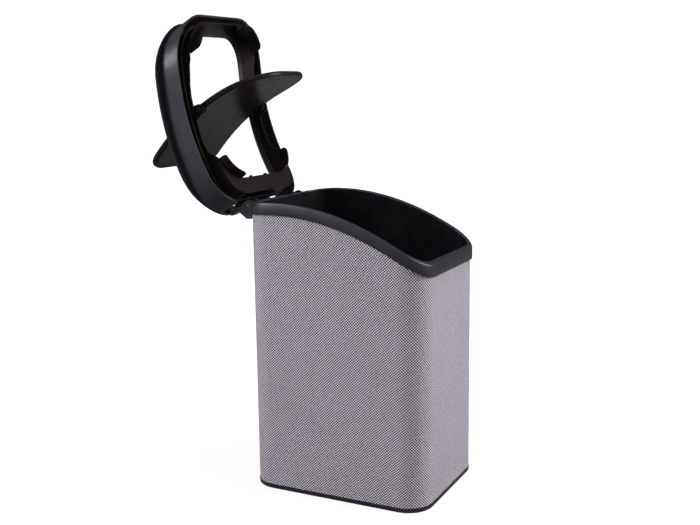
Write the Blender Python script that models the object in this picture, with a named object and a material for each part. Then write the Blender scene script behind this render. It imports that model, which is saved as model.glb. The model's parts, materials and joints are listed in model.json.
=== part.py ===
"""Swing-lid waste bin: a patterned body, a hinged lid frame and a free-swinging flap.

Frame: metres, +Z up, origin under the middle of the base. The front is -Y, the lid hinge is at
the back (+Y) and its axis runs along X. The lid is modelled closed, on the rim, and its empty
then holds it open; the flap is modelled level in the lid, and its empty then tips it.
"""
import math

import bmesh
import bpy
from mathutils import Matrix, Vector

# Body
HALF_WIDTH = 0.0920  # outside of the sleeve, across the bin
HALF_LENGTH = 0.1175  # outside of the sleeve, front to back
CORNER_RADIUS = 0.0317
SLEEVE_THICKNESS = 0.0012
TUB_THICKNESS = 0.0022
BASE_HEIGHT = 0.0052
BASE_FLOOR = 0.0020
GAP = 0.0003  # between pieces that touch

# Rim: its top edge is a parabola in y, low at the front and highest behind the middle
RIM_MIDDLE = 0.3513
RIM_SLOPE = 0.0308
RIM_SAG = 0.0239
RIM_BAND = 0.0145
RIM_PROUD = 0.0026
RIM_LAND_INNER = 0.0039

# Lid frame
SKIRT_HALF_WIDTH = 0.0964
SKIRT_FRONT = 0.1158
SKIRT_BACK = 0.1201
SKIRT_RADIUS = 0.0520
SKIRT_BACK_RADIUS = 0.0460
SKIRT_THICKNESS = 0.0022
SKIRT_DEPTH = 0.0296
BRIM = 0.0092
BRIM_FRONT = 0.0040
BRIM_FADE_START = 0.055
BRIM_FADE_END = 0.112
LID_SEAT = 0.0005  # gap under the closed lid

# Opening of the lid and the collar that lines it
OPENING_HALF_WIDTH = 0.0735
OPENING_FRONT = 0.1050
OPENING_BACK = 0.1072
OPENING_FRONT_RADIUS = 0.0340
OPENING_BACK_RADIUS = 0.0240
LIP_TOP = 0.0196
LIP_FRONT_RISE = 0.0065
LIP_BAND = 0.0076
COLLAR_THICKNESS = 0.0020
COLLAR_MIDDLE = 0.0025  # the collar's lower edge is above the rim beside the flap's pivot
COLLAR_ENDS = -0.0020
COLLAR_FRONT = -0.0042
COLLAR_BACK = -0.0096

# Deep guides under the four corners of the collar, on arcs tighter than the opening
GUIDE_RADIUS = 0.0370
GUIDE_THICKNESS = 0.0020
FRONT_GUIDE_X = 0.0348
FRONT_GUIDE_Y = -0.0600
FRONT_GUIDE_TURNS = (-20.0, -92.0)
FRONT_GUIDE_DEPTH = 0.0205
FRONT_SHELF = -0.0024
BACK_GUIDE_X = 0.0362
BACK_GUIDE_Y = 0.0500
BACK_GUIDE_TURNS = (10.0, 73.0)
BACK_GUIDE_DEPTH = 0.0212
GUIDE_ROUND = 0.0050

# Hinge of the lid
HINGE_Y = 0.1264
HINGE_Z = 0.3510
HINGE_X = 0.0540
LID_OPEN = 120.0
PIN_RADIUS = 0.0020
PIN_HOLE = 0.00206
KNUCKLE_RADIUS = 0.0055
KNUCKLE_HALF = 0.0060
EAR_OUTER = 0.0100
BRACKET_HALF = 0.0140
BRACKET_BACK = 0.0146
BRACKET_LOW = 0.0150

# Flap
FLAP_Y = -0.0073
FLAP_Z = 0.3440
FLAP_TIPPED = 71.2
FLAP_HALF_WIDTH = 0.0711
FLAP_FRONT = 0.0990
FLAP_BACK = 0.1052
FLAP_FRONT_RADIUS = 0.0535
FLAP_BACK_RADIUS = 0.0210
FLAP_TOP = 0.0014
FLAP_BAND = 0.0062
FLAP_WALL = 0.0018
FLAP_WEIGHT = 0.0262  # width of the hidden weight behind the front band, which balances the flap
LINER_THICKNESS = 0.0012
LUG_RADIUS = 0.0055
EAR_RADIUS = 0.0070
BUSH_RADIUS = 0.0030
BUSH_FLANGE = 0.0042

# Shelf under the back of the flap
LEDGE_TOP = -0.0072
LEDGE_THICKNESS = 0.0020
LEDGE_START = 24.0  # angle round the guide's arc where the shelf begins
BUMPER_X = 0.0175
BUMPER_HALF = 0.0015
POCKET_MARGIN = 0.0015  # round the bumpers, in the flap's liner

# Mesh fineness
CORNER_STEPS = 9
SIDE_STEPS = 12
ROUND_STEPS = 20

HINGE = Vector((0, HINGE_Y, HINGE_Z))
FLAP_PIVOT = Vector((0, FLAP_Y, FLAP_Z))

# Colours
SLEEVE_GREY = (0.36, 0.32, 0.36)
BLACK_SATIN = (0.022, 0.022, 0.025)
BLACK_GLOSS = (0.016, 0.015, 0.016)
BLACK_DEEP = (0.010, 0.010, 0.011)
RUBBER_BLACK = (0.012, 0.012, 0.012)


def clear_scene():
    for item in list(bpy.data.objects):
        bpy.data.objects.remove(item, do_unlink=True)


def make_collection(name):
    collection = bpy.data.collections.new(name)
    bpy.context.scene.collection.children.link(collection)
    return collection


def make_material(name, colour, roughness):
    material = bpy.data.materials.new(name)
    material.use_nodes = True
    shader = material.node_tree.nodes["Principled BSDF"]
    shader.inputs["Base Color"].default_value = (*colour, 1)
    shader.inputs["Roughness"].default_value = roughness
    shader.inputs["Metallic"].default_value = 0
    return material


def make_empty(name, location, tilt=0.0, parent=None):
    empty = bpy.data.objects.new(name, None)
    empty.location = location
    empty.rotation_euler = (math.radians(tilt), 0, 0)
    empty.parent = parent
    BIN.objects.link(empty)
    return empty


class Frame:
    """The empty that a group of pieces hangs on, and where its axis is with the lid closed."""

    def __init__(self, origin, empty=None):
        self.origin = Vector(origin)
        self.empty = empty


def add_object(name, mesh, frame, material, collection):
    """Link a mesh whose points are still in the closed bin's frame."""
    mesh.transform(Matrix.Translation(-frame.origin))
    item = bpy.data.objects.new(name, mesh)
    item.parent = frame.empty
    if material:
        mesh.materials.append(material)
    collection.objects.link(item)
    return item


def finish_mesh(bm, name, smooth_angle=35):
    bmesh.ops.recalc_face_normals(bm, faces=bm.faces)
    mesh = bpy.data.meshes.new(name)
    bm.to_mesh(mesh)
    bm.free()
    mesh.shade_smooth()
    mesh.set_sharp_from_angle(angle=math.radians(smooth_angle))
    return mesh


def smoothstep(value, low, high):
    t = min(max((value - low) / (high - low), 0), 1)
    return t * t * (3 - 2 * t)


def rim_height(y):
    s = y / HALF_LENGTH
    return RIM_MIDDLE + RIM_SLOPE * s - RIM_SAG * s * s


class Outline:
    """A rounded rectangle in plan, with its own radius at the front and at the back."""

    def __init__(self, half_width, front, back, front_radius, back_radius, front_marks=(), side_marks=()):
        self.half_width = half_width
        self.front = front
        self.back = back
        self.front_radius = front_radius
        self.back_radius = back_radius
        self.front_marks = front_marks
        self.side_marks = side_marks

    def half(self, offset=0.0):
        """Points with x > 0 from the front edge to the back edge, moved out by offset."""
        width = self.half_width + offset
        front_r = self.front_radius + offset
        back_r = self.back_radius + offset
        low = -self.front - offset + front_r
        high = self.back + offset - back_r
        points = [(x, -self.front - offset) for x in self.front_marks]
        for step in range(CORNER_STEPS + 1):
            turn = math.radians(-90 + 90 * step / CORNER_STEPS)
            points.append((width - front_r + front_r * math.cos(turn), low + front_r * math.sin(turn)))
        marks = self.side_marks or [low + (high - low) * step / SIDE_STEPS for step in range(1, SIDE_STEPS)]
        points += [(width, y) for y in marks]
        for step in range(CORNER_STEPS + 1):
            turn = math.radians(90 * step / CORNER_STEPS)
            points.append((width - back_r + back_r * math.cos(turn), high + back_r * math.sin(turn)))
        return points

    def loop(self, height, offset=0.0, fade=None):
        """A closed loop of points; height and the optional change of offset depend on the place."""
        points = []
        for side in (1, -1):
            half = self.half(offset)
            order = half if side == 1 else list(reversed(half))
            for x, y in order:
                if fade:
                    x, y = self.moved(x, y, fade(y))
                points.append(Vector((side * x, y, height(x, y))))
        return points

    def moved(self, x, y, distance):
        """A point of the outline moved out by distance along the outline's normal."""
        centre_x = self.half_width - self.front_radius
        centre_y = -self.front + self.front_radius
        if y > 0:
            centre_x = self.half_width - self.back_radius
            centre_y = self.back - self.back_radius
        out_x = max(x - centre_x, 0)
        out_y = min(y - centre_y, 0) if y < 0 else max(y - centre_y, 0)
        length = math.hypot(out_x, out_y) or 1
        return x + distance * out_x / length, y + distance * out_y / length


BODY = Outline(HALF_WIDTH, HALF_LENGTH, HALF_LENGTH, CORNER_RADIUS, CORNER_RADIUS)
SKIRT = Outline(SKIRT_HALF_WIDTH, SKIRT_FRONT, SKIRT_BACK, SKIRT_RADIUS, SKIRT_BACK_RADIUS)
OPENING = Outline(OPENING_HALF_WIDTH, OPENING_FRONT, OPENING_BACK, OPENING_FRONT_RADIUS, OPENING_BACK_RADIUS)
LINING = Outline(OPENING_HALF_WIDTH, OPENING_FRONT, OPENING_BACK, OPENING_FRONT_RADIUS, OPENING_BACK_RADIUS,
                 (0.012,), (-0.066, -0.060, -0.050, -0.040, -0.028, -0.016, -0.004, 0.008, 0.020,
                            0.032, 0.045, 0.050, 0.055, 0.065, 0.075))
FLAP = Outline(FLAP_HALF_WIDTH, FLAP_FRONT, FLAP_BACK, FLAP_FRONT_RADIUS, FLAP_BACK_RADIUS)


def level(z):
    return lambda x, y: z


def above_rim(height):
    return lambda x, y: rim_height(y) + height


def loft(name, loops, ring, frame, material, collection=None):
    """Skin loops of equal length: a ring closes on itself, a cup is capped at both ends.

    A cap is laid in strips from each point to the one across the bin, so it follows the curve.
    """
    bm = bmesh.new()
    rows = [[bm.verts.new(point) for point in points] for points in loops]
    count = len(rows[0])
    pairs = list(zip(rows, rows[1:]))
    if ring:
        pairs.append((rows[-1], rows[0]))
    for lower, upper in pairs:
        for i in range(count):
            j = (i + 1) % count
            # The two halves are split along mirrored diagonals
            if i < count // 2:
                bm.faces.new((lower[i], lower[j], upper[j]))
                bm.faces.new((lower[i], upper[j], upper[i]))
            else:
                bm.faces.new((lower[i], lower[j], upper[i]))
                bm.faces.new((lower[j], upper[j], upper[i]))
    if not ring:
        for row in (rows[0], rows[-1]):
            for i in range(count // 2 - 1):
                bm.faces.new((row[i], row[i + 1], row[count - 2 - i], row[count - 1 - i]))
    return add_object(name, finish_mesh(bm, name), frame, material, collection or BIN)


def prism(name, outline, x_low, x_high, frame, material, collection=None):
    """A plate whose side view is the outline of (y, z) points, from x_low to x_high."""
    bm = bmesh.new()
    side = bm.faces.new([bm.verts.new((x_low, y, z)) for y, z in outline])
    grown = bmesh.ops.extrude_face_region(bm, geom=[side])
    moved = [item for item in grown["geom"] if isinstance(item, bmesh.types.BMVert)]
    bmesh.ops.translate(bm, verts=moved, vec=(x_high - x_low, 0, 0))
    return add_object(name, finish_mesh(bm, name), frame, material, collection or BIN)


def turned_x(name, steps, centre, side, frame, material, collection=None):
    """A turned piece along X: steps are (x, radius) from its low end, mirrored by side."""
    bm = bmesh.new()
    rings = []
    for x, radius in steps:
        ring = []
        for i in range(ROUND_STEPS):
            turn = 2 * math.pi * i / ROUND_STEPS
            y = centre[1] + radius * math.cos(turn)
            z = centre[2] + radius * math.sin(turn)
            ring.append(bm.verts.new((side * x, y, z)))
        rings.append(ring)
    for lower, upper in zip(rings, rings[1:]):
        for i in range(ROUND_STEPS):
            j = (i + 1) % ROUND_STEPS
            bm.faces.new((lower[i], lower[j], upper[j], upper[i]))
    bm.faces.new(rings[0])
    bm.faces.new(rings[-1])
    return add_object(name, finish_mesh(bm, name), frame, material, collection or BIN)


def boolean(target, other, operation):
    other.display_type = "WIRE"
    other.hide_render = True
    modifier = target.modifiers.new(f"{operation.lower()}_{other.name}", "BOOLEAN")
    modifier.operation = operation
    modifier.solver = "EXACT"
    modifier.object = other


def cut(target, cutter):
    boolean(target, cutter, "DIFFERENCE")


def join(target, addition):
    boolean(target, addition, "UNION")


def cylinder_x(name, x_low, x_high, radius, centre, side, frame, material=None, collection=None):
    return turned_x(name, [(x_low, radius), (x_high, radius)], centre, side, frame, material, collection)


# ---- body -------------------------------------------------------------------------------------

def build_base_tray(frame):
    inner = -SLEEVE_THICKNESS
    loops = [
        BODY.loop(level(0), -0.0006),
        BODY.loop(level(0.0008), 0.0004),
        BODY.loop(level(BASE_HEIGHT), 0.0007),
        BODY.loop(level(BASE_HEIGHT), inner),
        BODY.loop(level(BASE_FLOOR), inner),
    ]
    loft("base_tray", loops, False, frame, SATIN)


def build_sleeve(frame):
    bottom = level(BASE_HEIGHT + GAP)
    top = above_rim(-0.0023)
    loops = [
        BODY.loop(bottom),
        BODY.loop(top),
        BODY.loop(top, -SLEEVE_THICKNESS),
        BODY.loop(bottom, -SLEEVE_THICKNESS),
    ]
    loft("sleeve", loops, True, frame, WRAP)


def build_tub(frame):
    outer = -SLEEVE_THICKNESS - GAP
    inner = outer - TUB_THICKNESS
    bottom = BASE_FLOOR + GAP
    floor = bottom + TUB_THICKNESS
    top = above_rim(-0.0023)
    loops = [
        BODY.loop(level(bottom), outer - 0.0050),
        BODY.loop(level(bottom + 0.0015), outer - 0.0015),
        BODY.loop(level(bottom + 0.0050), outer),
        BODY.loop(top, outer),
        BODY.loop(top, inner),
        BODY.loop(level(floor + 0.0060), inner),
        BODY.loop(level(floor + 0.0018), inner - 0.0018),
        BODY.loop(level(floor), inner - 0.0060),
    ]
    loft("tub", loops, False, frame, DEEP)


def build_rim(frame):
    outer_leg = GAP
    land = -RIM_LAND_INNER
    loops = [
        BODY.loop(above_rim(-RIM_BAND), outer_leg),
        BODY.loop(above_rim(-RIM_BAND), RIM_PROUD - 0.0005),
        BODY.loop(above_rim(-RIM_BAND + 0.0006), RIM_PROUD),
        BODY.loop(above_rim(-0.0013), RIM_PROUD),
        BODY.loop(above_rim(-0.0004), RIM_PROUD - 0.0004),
        BODY.loop(above_rim(0), RIM_PROUD - 0.0013),
        BODY.loop(above_rim(0), land + 0.0009),
        BODY.loop(above_rim(-0.0004), land + 0.0002),
        BODY.loop(above_rim(-0.0009), land),
        BODY.loop(above_rim(-0.0020), land),
        BODY.loop(above_rim(-0.0020), outer_leg),
    ]
    loft("rim_collar", loops, True, frame, SATIN)


def build_hinge_bracket(name, side, frame):
    """Two ears and a back wall round the lid's knuckle, clipped to the back of the rim."""
    back = HALF_LENGTH + RIM_PROUD + GAP
    low = HINGE_Z - BRACKET_LOW
    wall = HINGE_Y + BRACKET_BACK
    profile = [
        (back, low + 0.0035), (HINGE_Y - 0.0024, low), (HINGE_Y + 0.0034, low),
        (wall, HINGE_Z - 0.0070),
        (wall, HINGE_Z - 0.0030), (HINGE_Y + 0.0071, HINGE_Z + 0.0055), (HINGE_Y + 0.0006, HINGE_Z + 0.0085),
        (back, HINGE_Z + 0.0062),
    ]
    low_x, high_x = sorted((side * (HINGE_X - EAR_OUTER), side * (HINGE_X + EAR_OUTER)))
    bracket = prism(name, profile, low_x, high_x, frame, SATIN)
    foot_profile = [(back, HINGE_Z - 0.0110), (back + 0.0025, HINGE_Z - 0.0110),
                    (back + 0.0025, HINGE_Z + 0.0055), (back, HINGE_Z + 0.0055)]
    low_x, high_x = sorted((side * (HINGE_X - BRACKET_HALF), side * (HINGE_X + BRACKET_HALF)))
    join(bracket, prism(name + "_foot", foot_profile, low_x, high_x, frame, None, TOOLS))
    pocket = KNUCKLE_HALF + GAP
    pocket_profile = [
        (back - 0.01, HINGE_Z - 0.0110), (HINGE_Y + 0.0060, HINGE_Z - 0.0110),
        (HINGE_Y + 0.0074, HINGE_Z - 0.0090), (HINGE_Y + 0.0074, HINGE_Z - 0.0015), (HINGE_Y + 0.0200, HINGE_Z - 0.0080),
        (HINGE_Y + 0.0200, HINGE_Z + 0.0200), (back - 0.01, HINGE_Z + 0.0200),
    ]
    low_x, high_x = sorted((side * (HINGE_X - pocket), side * (HINGE_X + pocket)))
    cut(bracket, prism(name + "_pocket", pocket_profile, low_x, high_x, frame, None, TOOLS))
    reach = EAR_OUTER + 0.005
    cut(bracket, cylinder_x(name + "_bore", HINGE_X - reach, HINGE_X + reach, PIN_HOLE, HINGE, side, frame,
                            collection=TOOLS))


def build_hinge_pin(name, side, frame):
    reach = EAR_OUTER + 0.0009
    head = PIN_RADIUS + 0.0012
    steps = [
        (HINGE_X - reach, PIN_RADIUS * 0.8), (HINGE_X - reach + 0.0004, PIN_RADIUS),
        (HINGE_X + EAR_OUTER + GAP, PIN_RADIUS), (HINGE_X + EAR_OUTER + GAP, head),
        (HINGE_X + reach + 0.0004, head), (HINGE_X + reach + 0.0007, head * 0.75),
    ]
    turned_x(name, steps, HINGE, side, frame, SATIN)


# ---- lid --------------------------------------------------------------------------------------

def brim_reach(y):
    front = BRIM_FRONT + (BRIM - BRIM_FRONT) * smoothstep(y, -SKIRT_FRONT - 0.002, -0.060)
    return front * (1 - smoothstep(y, BRIM_FADE_START, BRIM_FADE_END))


def lip(height):
    """A height measured from the lip of the opening, which rises towards the front."""
    return lambda x, y: rim_height(y) + height + LIP_TOP + LIP_FRONT_RISE * (1 - smoothstep(y, -0.065, -0.005))


def build_lid_frame(frame):
    """Skirt, brim, dished deck and the lip round the opening."""
    inside = -SKIRT_THICKNESS
    loops = [
        SKIRT.loop(above_rim(LID_SEAT)),
        SKIRT.loop(above_rim(SKIRT_DEPTH)),
        SKIRT.loop(above_rim(SKIRT_DEPTH + 0.0003), fade=lambda y: brim_reach(y) * 0.92),
        SKIRT.loop(above_rim(SKIRT_DEPTH + 0.0012), fade=brim_reach),
        SKIRT.loop(above_rim(SKIRT_DEPTH + 0.0022), fade=lambda y: brim_reach(y) * 0.95),
        SKIRT.loop(above_rim(SKIRT_DEPTH + 0.0034), -0.0015),
        SKIRT.loop(above_rim(SKIRT_DEPTH + 0.0028), -0.0045),
        OPENING.loop(lip(0.0012), 0.0022),
        OPENING.loop(lip(0.0004), 0.0007),
        OPENING.loop(lip(-0.0004)),
        OPENING.loop(lip(-LIP_BAND)),
        OPENING.loop(lip(-LIP_BAND), 0.0018),
        OPENING.loop(lip(-0.0012), 0.0018),
        SKIRT.loop(above_rim(SKIRT_DEPTH + 0.0004), inside - 0.0020),
        SKIRT.loop(above_rim(SKIRT_DEPTH - 0.0016), inside),
        SKIRT.loop(above_rim(LID_SEAT), inside),
    ]
    lid = loft("lid_frame", loops, True, frame, SATIN)
    for side, word in ((1, "right"), (-1, "left")):
        low_x, high_x = sorted((side * (HINGE_X - 0.0120), side * (HINGE_X + 0.0156)))
        low_z = rim_height(HALF_LENGTH) - 0.01
        high_z = low_z + 0.01 + SKIRT_DEPTH - 0.0020
        notch = [(SKIRT_BACK - 0.0200, low_z), (SKIRT_BACK + 0.01, low_z), (SKIRT_BACK + 0.01, high_z),
                 (SKIRT_BACK - 0.0200, high_z)]
        cut(lid, prism(f"lid_notch_{word}", notch, low_x, high_x, frame, None, TOOLS))


def lining_edge(x, y):
    """Height of the collar's lower edge, which is highest beside the flap's pivot."""
    edge = COLLAR_MIDDLE + (COLLAR_ENDS - COLLAR_MIDDLE) * smoothstep(abs(y), 0.030, 0.060)
    edge += (1 - smoothstep(y, -0.066, -0.060)) * (COLLAR_FRONT - edge)
    edge += smoothstep(y, 0.045, 0.057) * (COLLAR_BACK - edge)
    return rim_height(y) + edge


class Arc:
    """A guide's arc in plan on the right-hand side: its centre and the angles it spans."""

    def __init__(self, x, y, turns):
        self.x = x
        self.y = y
        self.turns = turns

    def steps(self, first=None, last=None, count=8):
        first = self.turns[0] if first is None else first
        last = self.turns[1] if last is None else last
        return [first + (last - first) * step / count for step in range(count + 1)]

    def guide_steps(self):
        """The even steps, with closer ones where the guide's lower corners are rounded."""
        corner = math.degrees(GUIDE_ROUND / GUIDE_RADIUS)
        way = 1 if self.turns[1] > self.turns[0] else -1
        start = [self.turns[0] + way * corner * share for share in (0, 0.12, 0.35, 0.65)]
        end = [self.turns[1] - way * corner * share for share in (0.65, 0.35, 0.12, 0)]
        return start + self.steps(self.turns[0] + way * corner, self.turns[1] - way * corner, 6) + end

    def point(self, turn, radius=GUIDE_RADIUS):
        aim = math.radians(turn)
        return self.x + radius * math.cos(aim), self.y + radius * math.sin(aim)

    def cast(self, outline, turn):
        """Where the ray at this angle from the arc's centre leaves the outline."""
        aim = math.radians(turn)
        best = None
        outline = [(0, outline[0][1])] + outline + [(0, outline[-1][1])]
        for (ax, ay), (bx, by) in zip(outline, outline[1:]):
            side_a = (ax - self.x) * math.sin(aim) - (ay - self.y) * math.cos(aim)
            side_b = (bx - self.x) * math.sin(aim) - (by - self.y) * math.cos(aim)
            ahead = (ax - self.x) * math.cos(aim) + (ay - self.y) * math.sin(aim)
            if ahead > 0 and side_a * side_b <= 0 and side_a != side_b:
                share = side_a / (side_a - side_b)
                best = (ax + share * (bx - ax), ay + share * (by - ay))
        return best


FRONT_ARC = Arc(FRONT_GUIDE_X, FRONT_GUIDE_Y, FRONT_GUIDE_TURNS)
BACK_ARC = Arc(BACK_GUIDE_X, BACK_GUIDE_Y, BACK_GUIDE_TURNS)


def band(name, inner, outer, top, bottoms, frame, material, collection=None):
    """An upright strip between two plan curves of equal length, with a bottom height for each point."""
    bm = bmesh.new()
    rows = []
    for (inner_x, inner_y), (outer_x, outer_y), bottom in zip(inner, outer, bottoms):
        corners = [
            (inner_x, inner_y, rim_height(inner_y) + top), (outer_x, outer_y, rim_height(outer_y) + top),
            (outer_x, outer_y, rim_height(outer_y) + bottom), (inner_x, inner_y, rim_height(inner_y) + bottom),
        ]
        rows.append([bm.verts.new(corner) for corner in corners])
    for here, there in zip(rows, rows[1:]):
        for i in range(4):
            j = (i + 1) % 4
            bm.faces.new((here[i], here[j], there[j], there[i]))
    bm.faces.new(rows[0])
    bm.faces.new(rows[-1])
    return add_object(name, finish_mesh(bm, name), frame, material, collection or BIN)


def guide(name, arc, side, top, depth, frame):
    """A curved wall that hangs down at one corner."""
    reach = OPENING_HALF_WIDTH - GAP
    turns = arc.guide_steps()
    near = [arc.point(turn) for turn in turns]
    far = [arc.point(turn, GUIDE_RADIUS + GUIDE_THICKNESS) for turn in turns]
    near = [(side * min(x, reach - GUIDE_THICKNESS), y) for x, y in near]
    far = [(side * min(x, reach), y) for x, y in far]
    length = math.radians(abs(turns[-1] - turns[0])) * GUIDE_RADIUS
    bottoms = []
    for turn in turns:
        along = math.radians(abs(turn - turns[0])) * GUIDE_RADIUS
        lack = max(GUIDE_ROUND - min(along, length - along), 0)
        bottoms.append(GUIDE_ROUND - math.sqrt(GUIDE_ROUND ** 2 - lack ** 2) - depth)
    return band(name, near, far, top, bottoms, frame, None, TOOLS)


def build_lid_collar(frame):
    """The lining of the opening, with deep front corners that centre the lid in the tub."""
    wall = COLLAR_THICKNESS
    top = lip(-LIP_BAND - GAP)
    loops = [
        LINING.loop(top),
        LINING.loop(lining_edge),
        LINING.loop(lining_edge, wall),
        LINING.loop(above_rim(0.0075), wall),
        LINING.loop(above_rim(0.0085), wall + 0.0018),
        LINING.loop(lip(-0.0032), wall + 0.0018),
        LINING.loop(lip(-0.0032), wall + 0.0001),
        LINING.loop(top, wall + 0.0001),
    ]
    collar = loft("lid_collar", loops, True, frame, GLOSS)
    for side, word in ((1, "right"), (-1, "left")):
        turns = FRONT_ARC.steps(last=-90)
        inner = [FRONT_ARC.point(turn) for turn in turns]
        outer = [FRONT_ARC.cast(OPENING.half(0.0008), turn) for turn in turns]
        inner = [(side * x, y) for x, y in inner]
        outer = [(side * x, y) for x, y in outer]
        bottoms = [FRONT_SHELF - 0.0016] * len(turns)
        join(collar, band(f"front_shelf_{word}", inner, outer, FRONT_SHELF, bottoms, frame, None, TOOLS))
        join(collar, guide(f"front_guide_{word}", FRONT_ARC, side, FRONT_SHELF - 0.0006, FRONT_GUIDE_DEPTH,
                           frame))
    low = OPENING_HALF_WIDTH
    ear_steps = 12
    outline = []
    for step in range(ear_steps + 1):
        turn = math.radians(180 + 180 * step / ear_steps)
        outline.append((FLAP_Y + EAR_RADIUS * math.cos(turn), FLAP_Z + EAR_RADIUS * math.sin(turn)))
    outline += [(FLAP_Y + EAR_RADIUS + 0.003, FLAP_Z + 0.0125), (FLAP_Y - EAR_RADIUS - 0.003, FLAP_Z + 0.0125)]
    for side, word in ((1, "right"), (-1, "left")):
        low_x, high_x = sorted((side * (low + 0.0001), side * (low + wall - 0.0001)))
        join(collar, prism(f"pivot_ear_{word}", outline, low_x, high_x, frame, None, TOOLS))
    for side, word in ((1, "right"), (-1, "left")):
        bore = cylinder_x(f"pivot_bore_{word}", low - 0.004, low + 0.006, BUSH_RADIUS + 0.0001, FLAP_PIVOT, side,
                          frame, collection=TOOLS)
        cut(collar, bore)


def build_pivot_bush(name, side, frame):
    """A flanged bush in the collar's ear; the flap's pin turns in it."""
    low = OPENING_HALF_WIDTH
    bush = turned_x(name, [
        (low - 0.0011, BUSH_FLANGE), (low - GAP, BUSH_FLANGE), (low - GAP, BUSH_RADIUS),
        (low + COLLAR_THICKNESS + 0.0006, BUSH_RADIUS),
    ], FLAP_PIVOT, side, frame, RUBBER)
    cut(bush, cylinder_x(name + "_bore", low - 0.005, low + 0.008, PIN_HOLE, FLAP_PIVOT, side, frame,
                         collection=TOOLS))


def build_ledge(frame):
    """The shelf that the back of the flap comes down on, with a deep guide at each corner."""
    turns = BACK_ARC.steps(first=LEDGE_START, last=90)
    edge = BACK_GUIDE_Y + GUIDE_RADIUS
    inner = [BACK_ARC.point(turn) for turn in turns] + [(0.012, edge)]
    outer = [BACK_ARC.cast(OPENING.half(-GAP), turn) for turn in turns] + [(0.012, OPENING_BACK - GAP)]
    inner += [(-x, y) for x, y in reversed(inner)]
    outer += [(-x, y) for x, y in reversed(outer)]
    bottoms = [LEDGE_TOP - LEDGE_THICKNESS] * len(inner)
    ledge = band("flap_stop_ledge", inner, outer, LEDGE_TOP, bottoms, frame, GLOSS)
    for side, word in ((1, "right"), (-1, "left")):
        join(ledge, guide(f"back_guide_{word}", BACK_ARC, side, LEDGE_TOP - 0.0008, BACK_GUIDE_DEPTH, frame))


def build_bumper(name, side, frame):
    edge = BACK_GUIDE_Y + GUIDE_RADIUS
    low = edge - 0.0030
    high = edge + 0.0045
    base = LEDGE_TOP + GAP
    profile = [(low, rim_height(low) + base), (low, rim_height(low) - 0.0035),
               (low + 0.0025, rim_height(low) - 0.0010), (high - 0.0010, rim_height(high) - 0.0012),
               (high, rim_height(high) - 0.0030), (high, rim_height(high) + base)]
    low_x, high_x = sorted((side * (BUMPER_X - BUMPER_HALF), side * (BUMPER_X + BUMPER_HALF)))
    prism(name, profile, low_x, high_x, frame, RUBBER)


def build_hinge_arm(name, side, frame):
    """The knuckle round the pin, the arm up through the skirt's notch and its foot under the deck."""
    top = rim_height(SKIRT_BACK) + SKIRT_DEPTH - 0.0050
    face = HINGE_Y - 0.0029
    inner = SKIRT_BACK - SKIRT_THICKNESS
    steps = 14
    knuckle = []
    for i in range(steps + 1):
        turn = math.radians(-200 + 222 * i / steps)
        knuckle.append((HINGE_Y + KNUCKLE_RADIUS * math.cos(turn), HINGE_Z + KNUCKLE_RADIUS * math.sin(turn)))
    profile = knuckle + [
        (face, HINGE_Z + 0.0065), (face, top), (inner - 0.0060, top), (inner - 0.0060, top - 0.0030),
        (inner + 0.0006, top - 0.0045), (inner + 0.0006, HINGE_Z + 0.0135), (HINGE_Y - 0.0052, HINGE_Z + 0.0110),
    ]
    low_x, high_x = sorted((side * (HINGE_X - KNUCKLE_HALF), side * (HINGE_X + KNUCKLE_HALF)))
    arm = prism(name, profile, low_x, high_x, frame, SATIN)
    reach = EAR_OUTER + 0.005
    cut(arm, cylinder_x(name + "_bore", HINGE_X - reach, HINGE_X + reach, PIN_HOLE, HINGE, side, frame,
                        collection=TOOLS))


# ---- flap -------------------------------------------------------------------------------------

def build_flap(frame):
    """A curved dish: thin top, drafted band all round, a hidden weight in front and two pivot lugs."""
    def weight(y):
        return -FLAP_WEIGHT * (1 - smoothstep(y, -0.078, -0.045))

    def half_weight(y):
        return weight(y) / 2

    inside = -0.0028 - FLAP_WALL
    liner_top = LINER_THICKNESS + GAP - FLAP_BAND
    loops = [
        FLAP.loop(above_rim(FLAP_TOP), -0.0014),
        FLAP.loop(above_rim(FLAP_TOP - 0.0005), -0.0003),
        FLAP.loop(above_rim(FLAP_TOP - 0.0016)),
        FLAP.loop(above_rim(-FLAP_BAND * 0.45), -0.0006),
        FLAP.loop(above_rim(0.0006 - FLAP_BAND), -0.0023),
        FLAP.loop(above_rim(-FLAP_BAND), -0.0029),
        FLAP.loop(above_rim(-FLAP_BAND), inside),
        FLAP.loop(above_rim(liner_top), inside),
        FLAP.loop(above_rim(liner_top), inside, fade=half_weight),
        FLAP.loop(above_rim(liner_top), inside, fade=weight),
        FLAP.loop(above_rim(FLAP_TOP - FLAP_WALL), inside, fade=weight),
    ]
    flap = loft("flap", loops, False, frame, GLOSS)
    inner = FLAP_HALF_WIDTH - 0.0046
    outer = FLAP_HALF_WIDTH - 0.0014
    for side, word in ((1, "right"), (-1, "left")):
        join(flap, cylinder_x(f"flap_lug_{word}", inner, outer, LUG_RADIUS, FLAP_PIVOT, side, frame,
                              collection=TOOLS))
    for side, word in ((1, "right"), (-1, "left")):
        cut(flap, cylinder_x(f"flap_bore_{word}", inner - 0.004, outer + 0.005, PIN_HOLE, FLAP_PIVOT, side,
                             frame, collection=TOOLS))


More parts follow.
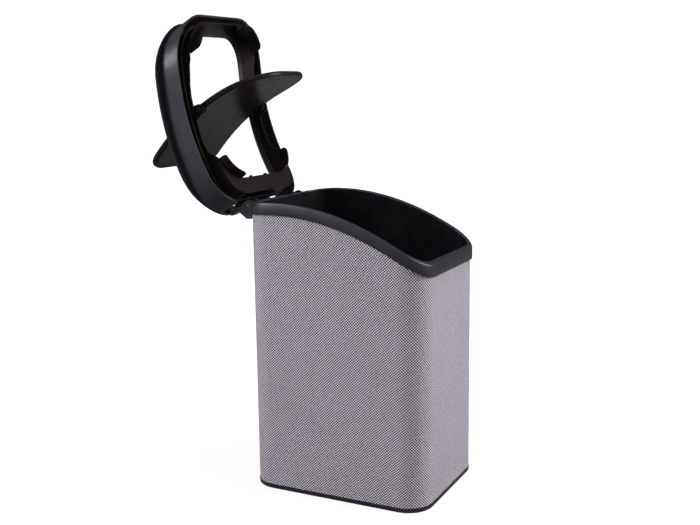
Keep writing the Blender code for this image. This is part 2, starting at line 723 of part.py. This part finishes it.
def build_flap_liner(frame):
    """The underside of the flap: a curved plate let into the band, with a pocket over each bumper."""
    inset = -0.0028 - FLAP_WALL - GAP
    loops = [
        FLAP.loop(above_rim(0.0002 - FLAP_BAND), inset - 0.0002),
        FLAP.loop(above_rim(0.0004 - FLAP_BAND), inset),
        FLAP.loop(above_rim(LINER_THICKNESS - FLAP_BAND), inset),
    ]
    liner = loft("flap_liner", loops, False, frame, GLOSS)
    edge = BACK_GUIDE_Y + GUIDE_RADIUS
    low = edge - 0.0030 - POCKET_MARGIN
    high = edge + 0.0045 + POCKET_MARGIN
    reach = BUMPER_HALF + POCKET_MARGIN
    below, above = RIM_MIDDLE - 0.02, RIM_MIDDLE + 0.02
    pocket = [(low, below), (high, below), (high, above), (low, above)]
    for side, word in ((1, "right"), (-1, "left")):
        low_x, high_x = sorted((side * (BUMPER_X - reach), side * (BUMPER_X + reach)))
        cut(liner, prism(f"liner_pocket_{word}", pocket, low_x, high_x, frame, None, TOOLS))


def build_pivot_pin(name, side, frame):
    inner = FLAP_HALF_WIDTH - 0.0044
    steps = [
        (inner, PIN_RADIUS * 0.8), (inner + 0.0004, PIN_RADIUS),
        (OPENING_HALF_WIDTH + COLLAR_THICKNESS + 0.0010, PIN_RADIUS),
        (OPENING_HALF_WIDTH + COLLAR_THICKNESS + 0.0015, PIN_RADIUS * 0.75),
    ]
    turned_x(name, steps, FLAP_PIVOT, side, frame, SATIN)


clear_scene()
BIN = make_collection("swing_lid_bin")
TOOLS = make_collection("cutters")
WRAP = make_material("patterned_wrap", SLEEVE_GREY, 0.42)
SATIN = make_material("black_satin_plastic", BLACK_SATIN, 0.38)
GLOSS = make_material("black_gloss_plastic", BLACK_GLOSS, 0.22)
DEEP = make_material("black_inner_plastic", BLACK_DEEP, 0.34)
RUBBER = make_material("rubber", RUBBER_BLACK, 0.70)

lid_empty = make_empty("lid_hinge", HINGE, -LID_OPEN)
flap_empty = make_empty("flap_pivot", FLAP_PIVOT - HINGE, FLAP_TIPPED, lid_empty)
BODY_FRAME = Frame((0, 0, 0))
LID_FRAME = Frame(HINGE, lid_empty)
FLAP_FRAME = Frame(FLAP_PIVOT, flap_empty)

build_base_tray(BODY_FRAME)
build_sleeve(BODY_FRAME)
build_tub(BODY_FRAME)
build_rim(BODY_FRAME)
build_lid_frame(LID_FRAME)
build_lid_collar(LID_FRAME)
build_ledge(LID_FRAME)
build_flap(FLAP_FRAME)
build_flap_liner(FLAP_FRAME)
for SIDE, WORD in ((1, "right"), (-1, "left")):
    build_hinge_bracket(f"hinge_bracket_{WORD}", SIDE, BODY_FRAME)
    build_hinge_pin(f"hinge_pin_{WORD}", SIDE, BODY_FRAME)
    build_hinge_arm(f"hinge_arm_{WORD}", SIDE, LID_FRAME)
    build_bumper(f"stop_bumper_{WORD}", SIDE, LID_FRAME)
    build_pivot_bush(f"pivot_bush_{WORD}", SIDE, LID_FRAME)
    build_pivot_pin(f"pivot_pin_{WORD}", SIDE, FLAP_FRAME)
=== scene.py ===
"""Looks for the swing-lid waste bin: the CAD frame keeps its shape, this script gives it its
surfaces, the patterned film round the body, the light and the camera."""
import json
import math

import bmesh
import bpy
from mathutils import Matrix, Vector


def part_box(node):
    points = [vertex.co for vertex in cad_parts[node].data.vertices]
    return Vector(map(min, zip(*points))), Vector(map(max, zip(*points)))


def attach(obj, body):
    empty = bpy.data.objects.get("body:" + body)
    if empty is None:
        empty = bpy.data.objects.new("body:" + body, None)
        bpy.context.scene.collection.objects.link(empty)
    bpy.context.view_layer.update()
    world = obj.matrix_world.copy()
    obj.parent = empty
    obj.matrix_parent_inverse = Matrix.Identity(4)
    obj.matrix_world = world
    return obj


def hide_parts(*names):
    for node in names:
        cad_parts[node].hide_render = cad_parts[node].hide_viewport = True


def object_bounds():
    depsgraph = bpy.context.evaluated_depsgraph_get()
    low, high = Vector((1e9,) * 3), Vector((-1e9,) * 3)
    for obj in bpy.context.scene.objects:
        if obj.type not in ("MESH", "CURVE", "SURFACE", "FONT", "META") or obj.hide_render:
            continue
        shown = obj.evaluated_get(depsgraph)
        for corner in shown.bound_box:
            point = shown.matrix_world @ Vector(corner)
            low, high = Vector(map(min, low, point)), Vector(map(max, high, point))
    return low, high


MM = 0.001

# Film on the sleeve
DOT_PITCH = 3.56 * MM  # distance between two light dots on one level
DOT_RISE = 3.43 * MM  # and from a row to the next but one above it
DOT_SKEW = math.radians(-2.9)
FILM_INSIDE = 1.2 * MM
FILM_CORNER = 31.7 * MM
FILM_CORNER_STEPS = 24
FILM_EDGE = 0.35 * MM
RIM_SLOPE = 0.0308
RIM_SAG = 0.0239

# Camera and light
CAMERA_PLACE = Vector((-1.0957, -0.5305, 0.4991))
CAMERA_RIGHT = Vector((0.44613, -0.89488, -0.01253))
CAMERA_UP = Vector((0.16452, 0.06824, 0.98401))
CAMERA_LENS = 50.79
FLOOR_HALF = 6.0
FLOOR_GLOW = 0.80  # under the bin; it rises outwards so that the floor melts into the backdrop
ROOM_BRIGHT_SIDE = (-0.80, -0.20, 0.45)
ROOM_DIM = 0.04
ROOM_BRIGHT = 0.70

# name, place, aim, size, power
LIGHTS = (
    ("front_window", (0.9, -2.1, 1.5), (0, 0, 0.25), (1.6, 1.6), 78),
    ("left_window", (-1.6, 1.6, 1.4), (0, 0.1, 0.3), (1.0, 1.2), 44),
    ("top_softbox", (0.2, 0.1, 2.6), (0, 0, 0.2), (1.8, 1.8), 12),
)

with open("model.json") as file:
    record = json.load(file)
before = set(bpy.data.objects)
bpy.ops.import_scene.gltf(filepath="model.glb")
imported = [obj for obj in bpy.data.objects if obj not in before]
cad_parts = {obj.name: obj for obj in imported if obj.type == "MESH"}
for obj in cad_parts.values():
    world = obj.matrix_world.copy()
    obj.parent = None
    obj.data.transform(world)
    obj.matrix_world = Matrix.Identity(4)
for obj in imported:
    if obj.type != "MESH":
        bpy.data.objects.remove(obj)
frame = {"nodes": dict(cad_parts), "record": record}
CAD_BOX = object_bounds()
NODES = frame["nodes"]


# ---- node helpers -----------------------------------------------------------------------------

class Shader:
    """A new material with its nodes at hand."""

    def __init__(self, name):
        self.material = bpy.data.materials.new(name)
        self.material.use_nodes = True
        self.tree = self.material.node_tree
        self.surface = self.tree.nodes["Principled BSDF"]

    def node(self, kind, **values):
        made = self.tree.nodes.new(kind)
        for key, value in values.items():
            setattr(made, key, value)
        return made

    def link(self, source, target):
        self.tree.links.new(source, target)

    def math(self, operation, first, second=None, third=None, clamp=False):
        made = self.node("ShaderNodeMath", operation=operation, use_clamp=clamp)
        for socket, value in zip(made.inputs, (first, second, third)):
            if value is None:
                continue
            if isinstance(value, (int, float)):
                socket.default_value = value
            else:
                self.link(value, socket)
        return made.outputs[0]

    def noise(self, vector, scale, detail=3.0, roughness=0.55):
        made = self.node("ShaderNodeTexNoise")
        made.inputs["Scale"].default_value = scale
        made.inputs["Detail"].default_value = detail
        made.inputs["Roughness"].default_value = roughness
        self.link(vector, made.inputs["Vector"])
        return made.outputs["Fac"]

    def ramp(self, value, low, high, to_low, to_high, smooth=True):
        made = self.node("ShaderNodeMapRange")
        made.interpolation_type = "SMOOTHSTEP" if smooth else "LINEAR"
        for name, number in (("From Min", low), ("From Max", high), ("To Min", to_low), ("To Max", to_high)):
            made.inputs[name].default_value = number
        self.link(value, made.inputs["Value"])
        return made.outputs["Result"]

    def mix(self, share, first, second):
        made = self.node("ShaderNodeMix", data_type="RGBA")
        for name, value in (("A", first), ("B", second)):
            socket = next(s for s in made.inputs if s.name == name and s.type == "RGBA")
            if isinstance(value, tuple):
                socket.default_value = (*value, 1)
            else:
                self.link(value, socket)
        self.link(share, made.inputs["Factor"])
        return next(s for s in made.outputs if s.type == "RGBA")

    def bump(self, height, strength, distance, below=None):
        made = self.node("ShaderNodeBump")
        made.inputs["Strength"].default_value = strength
        made.inputs["Distance"].default_value = distance
        self.link(height, made.inputs["Height"])
        if below is not None:
            self.link(below, made.inputs["Normal"])
        return made.outputs["Normal"]

    def place(self):
        return self.node("ShaderNodeTexCoord").outputs["Object"]


def plastic(name, colour, rough_low, rough_high, grain_scale, grain_depth, specular=0.5,
            tint=(1, 1, 1), dust=0.01):
    """Moulded plastic: fine spark-eroded grain, slow changes of sheen, faint dust."""
    shader = Shader(name)
    place = shader.place()
    slow = shader.noise(place, 14.0, 3.0)
    fine = shader.noise(place, grain_scale, 2.0, 0.6)
    rubbed = shader.noise(place, 55.0, 4.0, 0.65)
    mottled = shader.math("MULTIPLY_ADD", rubbed, 0.45, shader.math("MULTIPLY", slow, 0.55))
    lighter = tuple(min(channel + dust * 0.35, 1) for channel in colour)
    shader.link(shader.mix(shader.ramp(mottled, 0.40, 0.68, 0.0, 1.0), colour, lighter),
                shader.surface.inputs["Base Color"])
    shader.link(shader.ramp(mottled, 0.34, 0.66, rough_low, rough_high), shader.surface.inputs["Roughness"])
    shader.link(shader.bump(fine, 0.35, grain_depth), shader.surface.inputs["Normal"])
    shader.surface.inputs["Specular IOR Level"].default_value = specular
    shader.surface.inputs["Specular Tint"].default_value = (*tint, 1)
    return shader.material


def film(name):
    """Printed film: pale dots in a staggered grid on a dark ground, each dot slightly raised."""
    shader = Shader(name)
    uv = shader.node("ShaderNodeUVMap", uv_map="film")
    split = shader.node("ShaderNodeSeparateXYZ")
    shader.link(uv.outputs["UV"], split.inputs["Vector"])
    across = shader.math("COSINE", shader.math("MULTIPLY", split.outputs["X"], 2 * math.pi))
    along = shader.math("COSINE", shader.math("MULTIPLY", split.outputs["Y"], 2 * math.pi))
    weave = shader.math("MULTIPLY", across, along)
    dots = shader.ramp(weave, 0.03, 0.23, 0.0, 1.0)
    place = shader.place()
    cloudy = shader.noise(place, 9.0, 2.0)
    fibre = shader.noise(place, 900.0, 2.0)
    pale = shader.mix(cloudy, (0.80, 0.72, 0.83), (0.88, 0.80, 0.93))
    dark = shader.mix(fibre, (0.006, 0.005, 0.006), (0.012, 0.010, 0.013))
    shader.link(shader.mix(dots, dark, pale), shader.surface.inputs["Base Color"])
    shader.link(shader.ramp(weave, -0.6, 0.8, 0.30, 0.46), shader.surface.inputs["Roughness"])
    grain = shader.bump(fibre, 0.25, 0.02 * MM)
    shader.link(shader.bump(dots, 0.30, 0.05 * MM, grain), shader.surface.inputs["Normal"])
    shader.surface.inputs["Specular IOR Level"].default_value = 0.25
    return shader.material


# ---- the film ---------------------------------------------------------------------------------

def film_outline(low, high, radius):
    """Points of the sleeve's plan, from the middle of the back, closed, no more than 8 mm apart."""
    centres = [
        (high.x - radius, high.y - radius, 90), (high.x - radius, low.y + radius, 0),
        (low.x + radius, low.y + radius, -90), (low.x + radius, high.y - radius, -180),
    ]
    points = [Vector((0, high.y))]
    for x, y, start in centres:
        for step in range(FILM_CORNER_STEPS + 1):
            turn = math.radians(start - 90 * step / FILM_CORNER_STEPS)
            points.append(Vector((x + radius * math.cos(turn), y + radius * math.sin(turn))))
    points.append(Vector((0, high.y)))
    refined = [points[0]]
    for before, after in zip(points, points[1:]):
        count = max(1, math.ceil((after - before).length / (8 * MM)))
        refined += [before.lerp(after, (step + 1) / count) for step in range(count)]
    return refined


def build_film(low, high):
    """The printed sleeve, with a uv map in dot pitches round the body and up it."""
    outside = film_outline(low, high, FILM_CORNER)
    inset = Vector((FILM_INSIDE, FILM_INSIDE, 0))
    inside = film_outline(low + inset, high - inset, FILM_CORNER - FILM_INSIDE)
    half_length = high.y
    middle = high.z - rim_rise(RIM_SLOPE / (2 * RIM_SAG) * half_length, half_length)
    bm = bmesh.new()
    uv = bm.loops.layers.uv.new("film")
    travelled = [0.0]
    for before, after in zip(outside, outside[1:]):
        travelled.append(travelled[-1] + (after - before).length)
    columns = []
    for out, inn in zip(outside[:-1], inside[:-1]):
        top = middle + rim_rise(out.y, half_length)
        top_in = middle + rim_rise(inn.y, half_length)
        soft = out.lerp(inn, FILM_EDGE / FILM_INSIDE)
        columns.append([bm.verts.new(place) for place in (
            (soft.x, soft.y, low.z), (out.x, out.y, low.z + FILM_EDGE), (out.x, out.y, top - FILM_EDGE),
            (soft.x, soft.y, top), (inn.x, inn.y, top_in), (inn.x, inn.y, low.z))])
    count = len(columns)
    for i in range(count):
        here = columns[i]
        there = columns[(i + 1) % count]
        for j in range(6):
            k = (j + 1) % 6
            face = bm.faces.new((here[j], there[j], there[k], here[k]))
            face.smooth = True
            spans = (travelled[i], travelled[i + 1], travelled[i + 1], travelled[i])
            for corner, span in zip(face.loops, spans):
                corner[uv].uv = skewed(span, corner.vert.co.z)
    bmesh.ops.recalc_face_normals(bm, faces=bm.faces)
    mesh = bpy.data.meshes.new("sleeve_film")
    bm.to_mesh(mesh)
    bm.free()
    item = bpy.data.objects.new("sleeve_film", mesh)
    bpy.context.scene.collection.objects.link(item)
    split_edges(item)
    return item


def rim_rise(y, half_length):
    share = y / half_length
    return RIM_SLOPE * share - RIM_SAG * share * share


def skewed(across, up):
    """Dot coordinates of a place on the film: the printed grid runs slightly off square."""
    turned = across * math.cos(DOT_SKEW) - up * math.sin(DOT_SKEW)
    raised = across * math.sin(DOT_SKEW) + up * math.cos(DOT_SKEW)
    return turned / DOT_PITCH, raised / DOT_RISE


def split_edges(item, angle=32):
    """Smooth shading that stays crisp at real edges, without touching the mesh itself."""
    weld = item.modifiers.new("weld", "WELD")
    weld.merge_threshold = 0.000005
    crisp = item.modifiers.new("crisp", "EDGE_SPLIT")
    crisp.split_angle = math.radians(angle)


# ---- stage ------------------------------------------------------------------------------------

def build_floor():
    bm = bmesh.new()
    corners = ((-1, -1), (1, -1), (1, 1), (-1, 1))
    bm.faces.new([bm.verts.new((x * FLOOR_HALF, y * FLOOR_HALF, CAD_BOX[0].z)) for x, y in corners])
    mesh = bpy.data.meshes.new("floor")
    bm.to_mesh(mesh)
    bm.free()
    floor = bpy.data.objects.new("floor", mesh)
    bpy.context.scene.collection.objects.link(floor)
    shader = Shader("pale_floor")
    shader.surface.inputs["Base Color"].default_value = (0.24, 0.24, 0.24, 1)
    shader.surface.inputs["Roughness"].default_value = 0.9
    shader.surface.inputs["Specular IOR Level"].default_value = 0.1
    away = shader.node("ShaderNodeVectorMath", operation="LENGTH")
    shader.link(shader.place(), away.inputs[0])
    glow = shader.ramp(away.outputs["Value"], 0.25, 0.60, FLOOR_GLOW, 1.05)
    seen = shader.node("ShaderNodeLightPath").outputs["Is Camera Ray"]
    shader.surface.inputs["Emission Color"].default_value = (1, 1, 1, 1)
    shader.link(shader.math("MULTIPLY", seen, glow), shader.surface.inputs["Emission Strength"])
    mesh.materials.append(shader.material)


def build_world():
    """A white backdrop, with a dimmer room that lights the object and shows in its gloss."""
    world = bpy.data.worlds.new("studio")
    world.use_nodes = True
    tree = world.node_tree
    backdrop = tree.nodes["Background"]
    backdrop.inputs["Color"].default_value = (1, 1, 1, 1)
    backdrop.inputs["Strength"].default_value = 1.05
    room = tree.nodes.new("ShaderNodeBackground")
    coords = tree.nodes.new("ShaderNodeTexCoord")
    facing = tree.nodes.new("ShaderNodeVectorMath")
    facing.operation = "DOT_PRODUCT"
    facing.inputs[1].default_value = ROOM_BRIGHT_SIDE
    fall = tree.nodes.new("ShaderNodeMapRange")
    fall.interpolation_type = "SMOOTHSTEP"
    steps = (("From Min", -0.9), ("From Max", 0.9), ("To Min", ROOM_DIM), ("To Max", ROOM_BRIGHT))
    for name, number in steps:
        fall.inputs[name].default_value = number
    tree.links.new(coords.outputs["Generated"], facing.inputs[0])
    tree.links.new(facing.outputs["Value"], fall.inputs["Value"])
    tree.links.new(fall.outputs["Result"], room.inputs["Strength"])
    seen = tree.nodes.new("ShaderNodeLightPath")
    choice = tree.nodes.new("ShaderNodeMixShader")
    tree.links.new(seen.outputs["Is Camera Ray"], choice.inputs["Fac"])
    tree.links.new(room.outputs["Background"], choice.inputs[1])
    tree.links.new(backdrop.outputs["Background"], choice.inputs[2])
    tree.links.new(choice.outputs["Shader"], tree.nodes["World Output"].inputs["Surface"])
    bpy.context.scene.world = world


def area_light(name, place, aim, size, power):
    light = bpy.data.lights.new(name, "AREA")
    light.shape = "RECTANGLE"
    light.size = size[0]
    light.size_y = size[1]
    light.energy = power
    item = bpy.data.objects.new(name, light)
    item.location = place
    item.rotation_euler = (Vector(aim) - Vector(place)).to_track_quat("-Z", "Y").to_euler()
    bpy.context.scene.collection.objects.link(item)


def build_camera():
    lens = bpy.data.cameras.new("camera")
    lens.sensor_width = 36
    lens.lens = CAMERA_LENS
    lens.clip_start = 0.01
    lens.clip_end = 30
    camera = bpy.data.objects.new("camera", lens)
    right = CAMERA_RIGHT.normalized()
    back = right.cross(CAMERA_UP).normalized()
    up = back.cross(right)
    turn = Matrix((right, up, back)).transposed().to_4x4()
    camera.matrix_world = Matrix.Translation(CAMERA_PLACE) @ turn
    bpy.context.scene.collection.objects.link(camera)
    bpy.context.scene.camera = camera


# ---- build ------------------------------------------------------------------------------------

SATIN = plastic("black_satin_plastic", (0.014, 0.013, 0.019), 0.32, 0.44, 1500.0, 0.03 * MM, specular=0.4,
                tint=(0.90, 0.86, 1.0))
# Painted reflection: the warm specular tint and the faint warm cast of the base colour stand in for brown
# surroundings mirrored in the gloss parts.
GLOSS = plastic("black_gloss_plastic", (0.012, 0.009, 0.010), 0.24, 0.36, 900.0, 0.012 * MM, specular=0.12,
                tint=(1.0, 0.80, 0.74), dust=0.006)
DEEP = plastic("black_inner_plastic", (0.005, 0.005, 0.007), 0.26, 0.38, 700.0, 0.02 * MM, specular=0.14,
               dust=0.008)
RUBBER = plastic("rubber", (0.012, 0.012, 0.012), 0.62, 0.80, 2200.0, 0.03 * MM, specular=0.35)
FILM = film("patterned_wrap")

FINISHES = {
    "black_satin_plastic": SATIN, "black_gloss_plastic": GLOSS, "black_inner_plastic": DEEP,
    "rubber": RUBBER, "patterned_wrap": FILM,
}
for part in frame["record"]["subparts"]:
    node = NODES[part["node"]]
    node.data.materials.clear()
    node.data.materials.append(FINISHES[part["material_slot"]])
    for face in node.data.polygons:
        face.use_smooth = True
    split_edges(node)

sleeve_film = build_film(*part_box("sleeve"))
sleeve_film.data.materials.append(FILM)
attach(sleeve_film, "bin")
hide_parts("sleeve")

build_floor()
build_world()
for light in LIGHTS:
    area_light(*light)
build_camera()
bpy.context.scene.view_settings.view_transform = "Standard"
